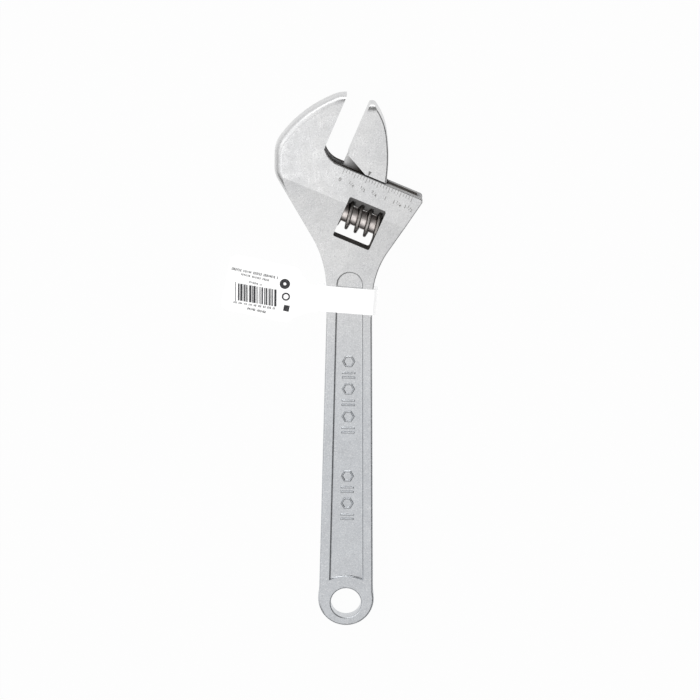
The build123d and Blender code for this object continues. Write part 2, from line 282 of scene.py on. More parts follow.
# Heights along the handle between which the plate turns from cool to neutral.
PLATE_COOL_Y = (0.09, 0.19)
# The worm's window and the throat, along and across the slide, whose upright walls get painted shade, and where
# along the throat that painted shade fades to half.
WINDOW_S = (6.9 * MM, 28.0 * MM)
WINDOW_N = (-36.6 * MM, -6.0 * MM)
THROAT_S = (-15.2 * MM, 60 * MM)
THROAT_N = (-6.2 * MM, 5.0 * MM)
THROAT_SHADE_FADE_S = (15 * MM, 20 * MM)


def plate_tone(f, low, high):
    """Satin plate's colour: cooler down the handle, cloudy, with fine painted glints and dark grains."""
    height = f.add("ShaderNodeSeparateXYZ")
    f.feed(height.inputs[0], f.place)
    cool = f.span(height.outputs["Y"], *PLATE_COOL_Y, 1.0, 0.0, smooth=True)
    base = f.mix(cool, high, low)
    base = f.mix(f.span(f.noise(75, 4.0), 0.38, 0.66, 0.0, 0.28), base, (0.47, 0.48, 0.50, 1))
    # Painted glints: fine specks of the colour turn bright.
    sparkle = f.noise(1500, 2.0, roughness=0.7)
    base = f.mix(f.span(sparkle, 0.50, 0.72, 0.0, 0.55), base, (0.90, 0.90, 0.90, 1))
    speckle = f.noise(1150, 2.0, roughness=0.7)
    return f.mix(f.span(speckle, 0.52, 0.70, 0.0, 0.35), base, (0.34, 0.34, 0.36, 1))


def plate_relief(f):
    """Blasted grain, stray pits, long rub marks and slow waves under the plate."""
    scuffs = f.noise(1.0, 3.0, f.stretch((1800, 120, 1800), (0, 0, math.radians(9))))
    relief = f.bump(f.noise(1300, 3.0, roughness=0.65), 0.08 * MM, 0.5)
    relief = f.bump(f.cells(900), 0.05 * MM, 0.2, relief)
    relief = f.bump(scuffs, 0.02 * MM, 0.2, relief)
    return f.bump(f.noise(85, 2.0), 0.3 * MM, 0.5, relief), scuffs


# Where shade is painted, the dielectric sheen stays low, even at a glancing view.
PAINTED_SHADE_IOR = 1.05


def oiled_tone(f):
    """Colour of the painted shade: dark, brownish, oily-looking steel with dry lighter streaks."""
    streaks = f.noise(1.0, 3.0, f.stretch((240, 240, 1100)))
    return f.mix(f.span(streaks, 0.5, 0.8), colours().oiled, (0.10, 0.085, 0.072, 1))


def oil_over(f, base, oiled, roughness):
    """Paint shade over part of a plated surface: a dark, dull, oily-looking tone in place of the metal."""
    f.feed(f.shader.inputs["Base Color"], f.mix(oiled, base, oiled_tone(f)))
    f.feed(f.shader.inputs["Metallic"], f.sum("SUBTRACT", 1.0, oiled))
    f.feed(f.shader.inputs["Roughness"], f.sum("MULTIPLY_ADD", oiled, 0.3, roughness))
    f.shader.inputs["IOR"].default_value = PAINTED_SHADE_IOR


def satin_plate():
    """Forging: satin nickel-chrome plate, with painted shade in a dark oily tone on the upright walls of the
    throat, the guide and the window.
    """
    f = Finish("forged_plate")
    base = plate_tone(f, colours().plate_cool, colours().plate)
    along, across = f.slide_coordinates()
    window = f.sum("MULTIPLY", f.band(along, *WINDOW_S, 0.1 * MM), f.band(across, *WINDOW_N, 0.1 * MM))
    throat = f.sum("MULTIPLY", f.band(along, *THROAT_S, 0.2 * MM), f.band(across, *THROAT_N, 0.4 * MM))
    throat = f.sum("MULTIPLY", throat, f.span(along, *THROAT_SHADE_FADE_S, 1.0, 0.5))
    # Painted shade: the upright walls of the window and the throat turn dark.
    inner = f.sum("MULTIPLY", f.sum("MAXIMUM", window, throat), f.upright())
    relief, scuffs = plate_relief(f)
    roughness = f.span(f.noise(210, 3.0), 0.3, 0.7, 0.25, 0.36)
    roughness = f.sum("ADD", roughness, f.span(scuffs, 0.55, 0.75, 0.0, -0.06))
    oil_over(f, base, f.sum("MULTIPLY", inner, 0.98), roughness)
    f.feed(f.shader.inputs["Normal"], relief)
    return f.material


# The web's half thickness as the painted shade sees it, and the painted shade's upper edge on the web and the
# shank.
WEB_Z = (4.0 * MM, 6.9 * MM)
WEB_TOP_N = (6.3 * MM, 8.2 * MM)
SHANK_TOP_N = (-0.2 * MM, 0.4 * MM)
# Where the shank's painted shade eases deeper in the guide, and where the web's painted shade grows away from the
# mouth.
SHANK_SHADE_EASE_N = (-3.0 * MM, -1.0 * MM)
WEB_SHADE_RISE_S = (-2.0 * MM, 6.5 * MM)


def jaw_plate():
    """Movable jaw: satin plate on the blade, with painted shade in a dark oily tone on the web and the shank,
    weaker towards the mouth and deeper in the guide.
    """
    f = Finish("jaw_plate")
    base = plate_tone(f, colours().plate_cool, colours().plate)
    along, across = f.slide_coordinates()
    height = f.add("ShaderNodeSeparateXYZ")
    f.feed(height.inputs[0], f.place)
    inside = f.span(f.sum("ABSOLUTE", height.outputs["Z"]), *WEB_Z, 1.0, 0.0)
    low = f.span(across, *WEB_TOP_N, 1.0, 0.0)
    shank = f.sum("MULTIPLY", low, f.sum("MAXIMUM", inside, f.span(across, *SHANK_TOP_N, 1.0, 0.0)))
    relief, _ = plate_relief(f)
    roughness = f.span(f.noise(210, 3.0), 0.3, 0.7, 0.24, 0.34)
    # Painted shade on the web and the shank, weaker towards the mouth and deeper in the guide.
    web = f.span(along, *WEB_SHADE_RISE_S, 0.2, 0.97)
    crest_wear_and_shank_shade = f.span(across, *SHANK_SHADE_EASE_N, 0.72, 1.0)
    oil_over(f, base, f.sum("MULTIPLY", shank, f.sum("MULTIPLY", web, crest_wear_and_shank_shade)), roughness)
    f.feed(f.shader.inputs["Normal"], relief)
    return f.material


# Radii inside which the worm's root gets a painted highlight, and outside which its worn crest shows.
WORM_ROOT = 4.75 * MM
WORM_CREST = 7.8 * MM


def worm_steel():
    """Worm with a pale pink painted highlight in its roots, dark oily flanks and rubbed crests, over turned rings.
    """
    f = Finish("worm_steel")
    off = f.add("ShaderNodeVectorMath", operation="SUBTRACT")
    f.feed(off.inputs[0], f.place)
    off.inputs[1].default_value = WORM_AXIS
    across = f.dot(off.outputs[0], ACROSS)
    rise = f.dot(off.outputs[0], UP)
    square = f.sum("ADD", f.sum("MULTIPLY", across, across), f.sum("MULTIPLY", rise, rise))
    radius = f.sum("SQRT", square)
    root = f.span(radius, WORM_ROOT, WORM_ROOT + 0.5 * MM, 1.0, 0.0, smooth=True)
    crest = f.span(radius, WORM_CREST - 0.3 * MM, WORM_CREST, smooth=True)
    base = f.mix(f.noise(500, 3.0), (0.030, 0.026, 0.022, 1), (0.075, 0.062, 0.052, 1))
    # Painted highlight: the roots turn nearly white, as where they catch the light.
    root_highlight = f.sum("MULTIPLY", root, f.span(f.noise(420, 3.0), 0.2, 0.5, 0.7, 1.0))
    base = f.mix(root_highlight, base, (0.97, 0.90, 0.87, 1))
    crest_wear_and_shank_shade = f.sum("MULTIPLY", crest, f.span(f.noise(900, 3.0), 0.3, 0.6, 0.5, 1.0))
    base = f.mix(crest_wear_and_shank_shade, base, (0.50, 0.47, 0.45, 1))
    f.feed(f.shader.inputs["Base Color"], base)
    f.shader.inputs["Metallic"].default_value = 1.0
    f.feed(f.shader.inputs["Roughness"], f.span(f.noise(1100, 2.0), 0.3, 0.7, 0.34, 0.50))
    rings = f.noise(1.0, 2.0, f.stretch((4200, 4200, 300)))
    relief = f.bump(rings, 0.03 * MM, 0.4)
    relief = f.bump(f.noise(1800, 3.0), 0.05 * MM, 0.35, relief)
    f.feed(f.shader.inputs["Normal"], relief)
    return f.material


def turned_steel(name, tone, radians_per_metre):
    """Plain turned or drawn steel with fine rings along its length."""
    f = Finish(name)
    rings = f.sum("SINE", f.sum("MULTIPLY", f.dot(f.place, SLIDE), radians_per_metre))
    darker = tuple(0.72 * value for value in tone[:3]) + (1,)
    base = f.mix(f.noise(800, 3.0), tone, darker)
    f.feed(f.shader.inputs["Base Color"], base)
    f.shader.inputs["Metallic"].default_value = 1.0
    f.feed(f.shader.inputs["Roughness"], f.span(f.noise(1500, 2.0), 0.3, 0.7, 0.24, 0.38))
    relief = f.bump(rings, 0.01 * MM, 0.3)
    relief = f.bump(f.noise(2200, 2.0), 0.03 * MM, 0.3, relief)
    f.feed(f.shader.inputs["Normal"], relief)
    return f.material


def etched_line(name, most_worn):
    """Dull dark bottom of an etched line, worn lighter in places."""
    f = Finish(name)
    worn = f.span(f.noise(900, 3.0), 0.42, 0.68, 0.0, most_worn)
    f.feed(f.shader.inputs["Base Color"], f.mix(worn, colours().etch, (0.50, 0.50, 0.50, 1)))
    f.shader.inputs["Metallic"].default_value = 0.6
    f.feed(f.shader.inputs["Roughness"], f.span(f.noise(2500, 2.0), 0.3, 0.7, 0.45, 0.65))
    f.feed(f.shader.inputs["Normal"], f.bump(f.noise(3500, 2.0), 0.02 * MM, 0.5))
    return f.material


# Painted glow: the film gives off white light of its own, standing in for light through it from the pale table.
FILM_PAINTED_GLOW = 0.42


def label_film():
    """White plastic film with a soft sheen, faint cockles, fibre-fine grain and a painted glow."""
    f = Finish("label_film")
    tone = f.span(f.noise(140, 3.0), 0.3, 0.7)
    f.feed(f.shader.inputs["Base Color"], f.mix(tone, colours().film, (0.94, 0.945, 0.95, 1)))
    f.feed(f.shader.inputs["Roughness"], f.span(f.noise(400, 2.0), 0.3, 0.7, 0.34, 0.46))
    f.shader.inputs["Subsurface Weight"].default_value = 0.15
    f.shader.inputs["Subsurface Radius"].default_value = (0.001, 0.001, 0.001)
    # Painted glow: constant white emission on the film.
    f.shader.inputs["Emission Color"].default_value = (1, 1, 1, 1)
    f.shader.inputs["Emission Strength"].default_value = FILM_PAINTED_GLOW
    f.shader.inputs["Coat Weight"].default_value = 0.15
    f.shader.inputs["Coat Roughness"].default_value = 0.25
    relief = f.bump(f.noise(120, 2.0), 0.4 * MM, 0.35)
    relief = f.bump(f.noise(5000, 2.0), 0.01 * MM, 0.3, relief)
    f.feed(f.shader.inputs["Normal"], relief)
    return f.material


def print_ink(name, tone):
    """Flat print, thin where the ribbon missed."""
    f = Finish(name)
    thin = f.span(f.noise(3200, 3.0), 0.56, 0.74, 0.0, 0.55)
    f.feed(f.shader.inputs["Base Color"], f.mix(thin, tone, (0.45, 0.45, 0.46, 1)))
    f.feed(f.shader.inputs["Roughness"], f.span(f.noise(900, 2.0), 0.3, 0.7, 0.45, 0.6))
    f.feed(f.shader.inputs["Normal"], f.bump(f.noise(6000, 2.0), 0.005 * MM, 0.4))
    return f.material


# ---------------------------------------------------------------- modelling helpers

def fresh():
    """Object mode with nothing selected, so an operator acts on the new piece alone."""
    if bpy.context.object and bpy.context.object.mode != "OBJECT":
        bpy.ops.object.mode_set(mode="OBJECT")
    bpy.ops.object.select_all(action="DESELECT")


def only(piece):
    """Select one piece and make it active."""
    fresh()
    piece.select_set(True)
    bpy.context.view_layer.objects.active = piece
    return piece


def pick(piece, test, kind="VERT"):
    """Select, in edit mode, the elements whose middle passes a test."""
    only(piece)
    bpy.ops.object.mode_set(mode="EDIT")
    bpy.ops.mesh.select_all(action="DESELECT")
    bpy.ops.mesh.select_mode(type=kind)
    bpy.ops.object.mode_set(mode="OBJECT")
    mesh = piece.data
    if kind == "VERT":
        for vertex in mesh.vertices:
            vertex.select = test(vertex.co)
    elif kind == "EDGE":
        for edge in mesh.edges:
            ends = [mesh.vertices[index].co for index in edge.vertices]
            edge.select = test(ends[0], ends[1])
    else:
        for face in mesh.polygons:
            face.select = test(face.center, face.normal)
    bpy.ops.object.mode_set(mode="EDIT")


def done():
    """Back to object mode."""
    bpy.ops.object.mode_set(mode="OBJECT")


def select_whole(piece):
    """Edit mode with every part of one piece selected."""
    only(piece)
    bpy.ops.object.mode_set(mode="EDIT")
    bpy.ops.mesh.select_all(action="SELECT")


def turn_inside_out(piece):
    """Flip every face, as after mirroring."""
    select_whole(piece)
    bpy.ops.mesh.flip_normals()
    done()


def cut(piece, point, normal):
    """Add a row of vertices where a plane crosses a piece."""
    select_whole(piece)
    bpy.ops.mesh.bisect(plane_co=point, plane_no=normal)
    done()


def settle(piece, matrix):
    """Bake a place into the mesh, so the object sits at the origin."""
    only(piece)
    piece.matrix_world = matrix @ piece.matrix_world
    bpy.ops.object.transform_apply(location=True, rotation=True, scale=True)
    return piece


def modify(piece, kind, **settings):
    """Add a modifier and apply it."""
    only(piece)
    modifier = piece.modifiers.new(kind.title(), kind)
    for key, value in settings.items():
        setattr(modifier, key, value)
    bpy.ops.object.modifier_apply(modifier=modifier.name)
    return piece


def joined(pieces, name):
    """Join pieces into one mesh object."""
    fresh()
    for piece in pieces:
        piece.select_set(True)
    bpy.context.view_layer.objects.active = pieces[0]
    if len(pieces) > 1:
        bpy.ops.object.join()
    result = bpy.context.object
    result.name = name
    result.data.name = name
    return result


def finish_piece(piece, material, body):
    """Give a made piece its finish, body and slot."""
    piece.data.materials.clear()
    piece.data.materials.append(material)
    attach(piece, body)
    return piece


def dress(node, material):
    """Put a finish on a CAD node."""
    for slot in frame["nodes"][node].material_slots:
        slot.material = material


def tile(width, height, depth, x, y, taper=0.82):
    """A low block whose top is a little smaller than its foot."""
    fresh()
    bpy.ops.mesh.primitive_cube_add(size=1.0)
    block = bpy.context.object
    block.scale = (width, height, depth)
    block.location = (x, y, depth / 2)
    bpy.ops.object.transform_apply(location=True, rotation=True, scale=True)
    pick(block, lambda centre, normal: normal.z > 0.9, "FACE")
    bpy.ops.transform.resize(value=(taper, taper, 1), center_override=(x, y, depth))
    done()
    return block


def copy_at(source, x):
    """A copy with its own mesh, moved along X."""
    twin = source.copy()
    twin.data = source.data.copy()
    bpy.context.collection.objects.link(twin)
    twin.matrix_world = Matrix.Translation((x, 0, 0))
    return twin


# Type size for a figure one high, and how much its strokes are thickened.
TYPE_SIZE = 1.35
FIGURE_WEIGHT = 0.03 * MM


def figure(text, height, x, y, depth):
    """Solid figures centred on a point."""
    fresh()
    bpy.ops.object.text_add(location=(x, y, 0))
    piece = bpy.context.object
    piece.data.body = text
    piece.data.size = height * TYPE_SIZE
    piece.data.align_x = "CENTER"
    piece.data.align_y = "CENTER"
    piece.data.extrude = depth / 2
    piece.data.resolution_u = 4
    piece.data.offset = FIGURE_WEIGHT
    bpy.ops.object.convert(target="MESH")
    piece = bpy.context.object
    bpy.ops.object.transform_apply(location=True, rotation=True, scale=True)
    select_whole(piece)
    bpy.ops.mesh.remove_doubles(threshold=0.001 * MM)
    bpy.ops.mesh.normals_make_consistent(inside=False)
    bpy.ops.transform.translate(value=(0, 0, depth / 2))
    done()
    return piece


# ---------------------------------------------------------------- etched scale

SCALE_ZERO_S = -1.05 * MM
TICK_TOP_N = -0.35 * MM
TICK_LONG = 3.3 * MM
TICK_SHORT = 2.3 * MM
FIGURE_N = -6.9 * MM
INCH_TICKS = 24
INCH_FIGURE_STEP = 4
INCH_FIGURES = ("0", "1/4", "1/2", "3/4", "1", "1 1/4", "1 1/2")
MM_TICKS = 35
MM_FIGURE_STEP = 5
# Share of an etched line's thickness that lies below the steel's face.
SINK = 0.6
# A fraction's small figures, as shares of a whole figure's height.
FRACTION_HEIGHT = 0.78
FRACTION_LIFT = 0.26
FRACTION_STEP = 0.48
SLASH_SIZE = (0.1, 1.15)
SLASH_TURN = math.radians(-32)
# Where the parts of a mixed number stand, in the same shares.
MIXED_WHOLE = -0.75
MIXED_FRACTION = 0.5


def fraction(text, height, depth):
    """A whole number, a small slanted fraction, or both side by side, centred on the origin."""
    whole, _, rest = text.rpartition(" ")
    if "/" not in rest:
        return figure(text, height, 0, 0, depth)
    upper, lower = rest.split("/")
    small = height * FRACTION_HEIGHT
    middle = height * MIXED_FRACTION if whole else 0.0
    slash = tile(height * SLASH_SIZE[0], height * SLASH_SIZE[1], depth, 0, 0)
    leaning = Matrix.Translation((middle, 0, 0)) @ Matrix.Rotation(SLASH_TURN, 4, "Z")
    signs = [
        figure(upper, small, middle - height * FRACTION_STEP, height * FRACTION_LIFT, depth),
        settle(slash, leaning),
        figure(lower, small, middle + height * FRACTION_STEP, -height * FRACTION_LIFT, depth),
    ]
    if whole:
        signs.append(figure(whole, height, height * MIXED_WHOLE, 0, depth))
    return joined(signs, "fraction")


def scale_of(ticks, pitch, figures, figure_step, flip, name):
    """Etched lines and figures along the slide, on the head's upper face or flipped to its lower one."""
    depth = sizes().etch_depth
    width = sizes().tick_width
    pieces = []
    patterns = {
        length: tile(width, length, depth, 0, TICK_TOP_N - length / 2)
        for length in (TICK_SHORT, TICK_LONG)
    }
    for index in range(ticks + 1):
        length = TICK_LONG if index % figure_step == 0 else TICK_SHORT
        pieces.append(copy_at(patterns[length], SCALE_ZERO_S + index * pitch))
    for pattern in patterns.values():
        bpy.data.objects.remove(pattern)
    for index, text in enumerate(figures):
        x = SCALE_ZERO_S + index * figure_step * pitch
        glyph = fraction(text, sizes().digit_height, depth)
        if flip:
            settle(glyph, Matrix.Diagonal((-1, 1, 1, 1)))
            turn_inside_out(glyph)
        pieces.append(settle(glyph, Matrix.Translation((x, FIGURE_N, 0))))
    piece = joined(pieces, name)
    settle(piece, Matrix.Identity(4))
    if flip:
        settle(piece, Matrix.Diagonal((1, 1, -1, 1)))
        turn_inside_out(piece)
    side = -1 if flip else 1
    sunk = FACE_Z - depth * SINK
    return settle(piece, SLIDE_FRAME @ Matrix.Translation((0, 0, side * sunk)))


class WRENCH_OT_scale(bpy.types.Operator):
    """Etch the inch scale on the upper face and the metric scale on the lower one"""

    bl_idname = "wrench.scale"
    bl_label = "Etched scales"

    def execute(self, context):
        line = etched_line("etched_line", 0.6)
        pitch = sizes().tick_pitch
        inch = scale_of(INCH_TICKS, pitch, INCH_FIGURES, INCH_FIGURE_STEP, False, "inch_scale")
        finish_piece(inch, line, "frame")
        figures = [str(value) for value in range(0, MM_TICKS + 1, MM_FIGURE_STEP)]
        metric = scale_of(MM_TICKS, MM, figures, MM_FIGURE_STEP, True, "metric_scale")
        finish_piece(metric, line, "frame")
        return {"FINISHED"}


POINTER_S = 11.7 * MM
POINTER_N = (0.7 * MM, 3.2 * MM)
POINTER_WIDTH = 1.8 * MM
POINTER_POINT = 0.3


class WRENCH_OT_pointer(bpy.types.Operator):
    """Etch the movable jaw's pointer, which reads against the scale"""

    bl_idname = "wrench.pointer"
    bl_label = "Pointer"

    def execute(self, context):
        low, high = POINTER_N
        depth = sizes().etch_depth * 1.3
        arrow = tile(POINTER_WIDTH, high - low, depth, POINTER_S, (low + high) / 2)
        pick(arrow, lambda point: point.y < (low + high) / 2)
        bpy.ops.transform.resize(value=(POINTER_POINT, 1, 1), center_override=(POINTER_S, low, 0))
        done()
        settle(arrow, SLIDE_FRAME @ Matrix.Translation((0, 0, FACE_Z - depth * SINK)))
        arrow.name = "jaw_pointer"
        ink = etched_line("pointer_etch", 0.2)
        finish_piece(arrow, ink, "jaw")
        return {"FINISHED"}


# ---------------------------------------------------------------- steel finishes

class WRENCH_OT_steel(bpy.types.Operator):
    """Finish the forging, the movable jaw, the worm, its pin and its spring"""

    bl_idname = "wrench.steel"
    bl_label = "Steel finishes"

    def execute(self, context):
        dress("body", satin_plate())
        dress("movable_jaw", jaw_plate())
        dress("worm", worm_steel())
        dress("worm_pin", turned_steel("pin_steel", (0.42, 0.41, 0.39, 1), 16000))
        dress("worm_spring", turned_steel("spring_wire", (0.46, 0.46, 0.47, 1), 9000))
        return {"FINISHED"}


# ---------------------------------------------------------------- label

BAND_CENTRE_Y = 163.8 * MM
BAND_LEFT = -12.75 * MM
BAND_RIGHT = 12.85 * MM
BAND_TOP = 4.62 * MM
BAND_BULGE = 1.4 * MM
PINCH_X = -17.6 * MM
PINCH_HALFWAY = 0.42
CREASE_X = -5.0 * MM
CREASE_HEIGHT = 0.22 * MM
DIP_X = (-8.0 * MM, -5.8 * MM)
DIP_DEPTH = 0.05 * MM
SIDE_QUARTER = 0.6 * BAND_TOP
NEARLY = 0.1 * MM
# Where the band gets rows of vertices, so that it can fold: across it, along it and up its sides.
FOLD_ROWS_X = (-9.6, -7.4, -6.0, -5.0, -4.0, -2.4, 2.0, 6.5, 10.5, 12.0)
FOLD_ROWS_Y = (-0.36, -0.18, 0.0, 0.18, 0.36)
FOLD_ROWS_Z = (-0.6, 0.0, 0.6)
FOLD_SLANT = 0.04


def push(piece, test, move):
    """Move the vertices that pass a test."""
    pick(piece, test)
    bpy.ops.transform.translate(value=move)
    done()


def label_band():
    """Film band folded round the handle, pinched together on the left."""
    width = sizes().band_width
    fresh()
    bpy.ops.mesh.primitive_cube_add(size=1.0)
    band = bpy.context.object
    band.scale = (BAND_RIGHT - BAND_LEFT, width, 2 * BAND_TOP)
    band.location = ((BAND_LEFT + BAND_RIGHT) / 2, 0, 0)
    bpy.ops.object.transform_apply(location=True, rotation=True, scale=True)
    pick(band, lambda centre, normal: abs(normal.y) > 0.9, "FACE")
    bpy.ops.mesh.delete(type="ONLY_FACE")
    done()
    for x in FOLD_ROWS_X:
        cut(band, (x * MM, 0, 0), (1, FOLD_SLANT, 0))
    for y in FOLD_ROWS_Y:
        cut(band, (0, y * width, 0), (0, 1, 0))
    for z in FOLD_ROWS_Z:
        cut(band, (0, 0, z * BAND_TOP), (0, 0, 1))
    pinch = PINCH_X - BAND_LEFT

    def at_left(point):
        return point.x < BAND_LEFT + NEARLY

    def on_top(point):
        return point.z > BAND_TOP - NEARLY

    push(band, lambda point: at_left(point) and abs(point.z) < NEARLY, (pinch, 0, 0))
    push(band, lambda point: at_left(point) and NEARLY < abs(point.z) < SIDE_QUARTER + NEARLY,
         (PINCH_HALFWAY * pinch, 0, 0))
    push(band, lambda point: point.x > BAND_RIGHT - NEARLY and abs(point.z) < SIDE_QUARTER + NEARLY,
         (BAND_BULGE, 0, 0))
    push(band, lambda point: abs(point.x - CREASE_X) < 0.5 * MM and on_top(point), (0, 0, CREASE_HEIGHT))
    push(band, lambda point: DIP_X[0] < point.x < DIP_X[1] and on_top(point), (0, 0, -DIP_DEPTH))
    modify(band, "SUBSURF", levels=2, render_levels=2)
    modify(band, "SOLIDIFY", thickness=sizes().film, offset=1.0)
    only(band)
    bpy.ops.object.shade_smooth_by_angle(angle=math.radians(40))
    band.name = "label_band"
    return band


FLAG_CENTRE = Vector((-45.8 * MM, 168.6 * MM, 0))
FLAG_SIZE = (37.4 * MM, 29.4 * MM)
FLAG_TURN = math.radians(-12.0)
FLAG_CORNER = 3.8 * MM
# The neck's two steps towards the band: how far each goes, how wide it stays and about where it narrows.
NECK_STEPS = (
    ((6 * MM, -1.2 * MM, 0), 0.62, -21 * MM),
    ((4 * MM, 0, 0), 0.95, PINCH_X + 1 * MM),
)
NECK_SQUEEZE = 0.2
FLAG_FRAME = Matrix.Translation(FLAG_CENTRE) @ Matrix.Rotation(FLAG_TURN, 4, "Z")


def label_flag():
    """Rounded flag with the neck that joins it to the band."""
    fresh()
    bpy.ops.mesh.primitive_plane_add(size=1.0)
    flag = bpy.context.object
    flag.scale = (FLAG_SIZE[0], FLAG_SIZE[1], 1)
    bpy.ops.object.transform_apply(location=True, rotation=True, scale=True)
    pick(flag, lambda point: True)
    bpy.ops.mesh.bevel(offset=FLAG_CORNER, segments=7, affect="VERTICES")
    done()
    settle(flag, FLAG_FRAME)
    edge = FLAG_SIZE[0] / 2 - NEARLY
    inverse = FLAG_FRAME.inverted()

    def on_right(a, b):
        return (inverse @ a).x > edge and (inverse @ b).x > edge

    pick(flag, on_right, "EDGE")
    for move, width, x in NECK_STEPS:
        bpy.ops.mesh.extrude_region_move(TRANSFORM_OT_translate={"value": move})
        bpy.ops.transform.resize(value=(NECK_SQUEEZE, width, 1), center_override=(x, BAND_CENTRE_Y, 0))
    done()
    modify(flag, "SOLIDIFY", thickness=2 * sizes().film, offset=0.0)
    flag.name = "label_flag"
    return flag


PRINT_DEPTH = 0.02 * MM
# Rows of small strokes, in mm: both ends of each row, its height and its words' rough length.
GREY_ROWS = (
    (-61.2, 179.2, -37.2, 174.4, 1.5, 5.0),
    (-56.3, 176.2, -41.5, 172.9, 1.1, 4.0),
    (-52.0, 172.2, -45.7, 170.5, 1.1, 6.0),
    (-60.2, 161.3, -37.8, 157.9, 1.2, 1.4),
)
DARK_ROWS = (
    (-52.9, 158.0, -43.3, 156.0, 1.3, 4.2),
)
BAR_CODE = (-57.9, -38.0)
BAR_CODE_MIDDLE = (166.75, 163.6)
BAR_CODE_HEIGHT = 9.1
GUARD_BAR_X = -59.2
BAR_WIDTHS = (0.3, 0.5, 0.8, 1.15)
BAR_GAPS = (0.25, 0.35, 0.35, 0.6)
STROKE_WIDTH = (0.28, 0.55)
STROKE_GAP = (0.2, 0.32)
STROKE_TALLNESS = (1.0, 1.0, 0.72)
WORD_GAP = 0.75
ROW_MARGIN = 0.3
WORD_SPREAD = (0.7, 1.2)
# The symbols at the print's right: outer and inner radius, or width and height, and the place.
DISC_SIZE = (2.7, 0.8)
DISC_PLACE = (-33.6, 171.3)
RING_SIZE = (2.16, 1.35)
RING_PLACE = (-33.0, 164.5)
BLOCK_SIZE = (2.97, 3.24)
BLOCK_PLACE = (-32.7, 158.3)
BLOCK_TURN = math.radians(-10)


def stroke(width, height, x, y, turn=0.0):
    """One small printed bar, sizes in mm."""
    bar = tile(width * MM, height * MM, PRINT_DEPTH, 0, 0, 0.98)
    return settle(bar, Matrix.Translation((x * MM, y * MM, 0)) @ Matrix.Rotation(turn, 4, "Z"))


def print_row(draw, x0, y0, x1, y1, height, word):
    """Strokes of uneven width in words along a sloping baseline."""
    slope = (y1 - y0) / (x1 - x0)
    strokes = []
    x = x0
    word_end = x0 + word * draw.uniform(*WORD_SPREAD)
    while x < x1 - ROW_MARGIN:
        width = draw.uniform(*STROKE_WIDTH)
        tall = height * draw.choice(STROKE_TALLNESS)
        strokes.append(stroke(width, tall, x + width / 2, y0 + slope * (x - x0), math.atan(slope)))
        x += width + draw.uniform(*STROKE_GAP)
        if x > word_end:
            x += WORD_GAP
            word_end = x + word * draw.uniform(*WORD_SPREAD)
    return strokes


def bar_code(draw):
    """Upright bars of uneven width between two sloping lines, with no code in them."""
    left, right = BAR_CODE
    first, last = BAR_CODE_MIDDLE
    bars = [stroke(0.35, BAR_CODE_HEIGHT + 1.2, GUARD_BAR_X, first + 0.1)]
    x = left
    while x < right:
        width = draw.choice(BAR_WIDTHS)
        share = (x - left) / (right - left)
        bars.append(stroke(width, BAR_CODE_HEIGHT, x + width / 2, first + share * (last - first)))
        x += width + draw.choice(BAR_GAPS)
    return bars


def disc(radius, hole, x, y):
    """Printed disc with a smaller hole, sizes in mm."""
    fresh()
    bpy.ops.mesh.primitive_cylinder_add(vertices=40, radius=radius * MM, depth=PRINT_DEPTH)
    piece = bpy.context.object
    pick(piece, lambda centre, normal: abs(normal.z) > 0.9, "FACE")
    bpy.ops.mesh.inset(thickness=(radius - hole) * MM)
    bpy.ops.mesh.bridge_edge_loops()
    done()
    return settle(piece, Matrix.Translation((x * MM, y * MM, PRINT_DEPTH / 2)))


def label_print(name, pieces):
    """Strokes of one ink, joined and laid on the flag."""
    piece = joined(pieces, name)
    return settle(piece, Matrix.Translation((0, 0, sizes().film)))


class WRENCH_OT_label(bpy.types.Operator):
    """Make the folded film label with its flag and plain print"""

    bl_idname = "wrench.label"
    bl_label = "Label"

    def execute(self, context):
        film = label_film()
        band = label_band()
        turn = Matrix.Translation((0, BAND_CENTRE_Y, 0)) @ Matrix.Rotation(sizes().band_tilt, 4, "Z")
        settle(band, turn)
        finish_piece(band, film, "frame")
        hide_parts("hang_label")
        finish_piece(label_flag(), film, "frame")
        draw = random.Random(7)
        dark = bar_code(draw)
        for row in DARK_ROWS:
            dark += print_row(draw, *row)
        dark.append(disc(*DISC_SIZE, *DISC_PLACE))
        dark.append(disc(*RING_SIZE, *RING_PLACE))
        dark.append(stroke(*BLOCK_SIZE, *BLOCK_PLACE, BLOCK_TURN))
        black = print_ink("print_ink", colours().ink)
        finish_piece(label_print("dark_print", dark), black, "frame")
        pale = [bar for row in GREY_ROWS for bar in print_row(draw, *row)]
        grey = print_ink("grey_ink", colours().grey_ink)
        finish_piece(label_print("grey_print", pale), grey, "frame")
        return {"FINISHED"}


# ---------------------------------------------------------------- stage

VIEW_CENTRE = Vector((0.6 * MM, 136.3 * MM, 0))
VIEW_DISTANCE = 2.5
VIEW_TILT = math.radians(14.0)
VIEW_ROLL = math.radians(0.65)
LENS = 246.9
FILM_BACK = 36


def studio_camera():
    """Long lens, high above the wrench and leaning from the jaws' end."""
    roll = Matrix.Rotation(VIEW_ROLL, 3, "Z")
    towards = roll @ Vector((0, -math.sin(VIEW_TILT), -math.cos(VIEW_TILT)))
    camera_data = bpy.data.cameras.new("studio_camera")
    camera_data.lens = LENS
    camera_data.sensor_width = FILM_BACK
    camera_data.clip_end = 20
    camera = bpy.data.objects.new("studio_camera", camera_data)
    bpy.context.collection.objects.link(camera)
    back = -towards
    right = (roll @ Vector((1, 0, 0))).normalized()
    top = back.cross(right)
    turn = Matrix((right, top, back)).transposed().to_4x4()
    camera.matrix_world = Matrix.Translation(VIEW_CENTRE + back * VIEW_DISTANCE) @ turn
    bpy.context.scene.camera = camera


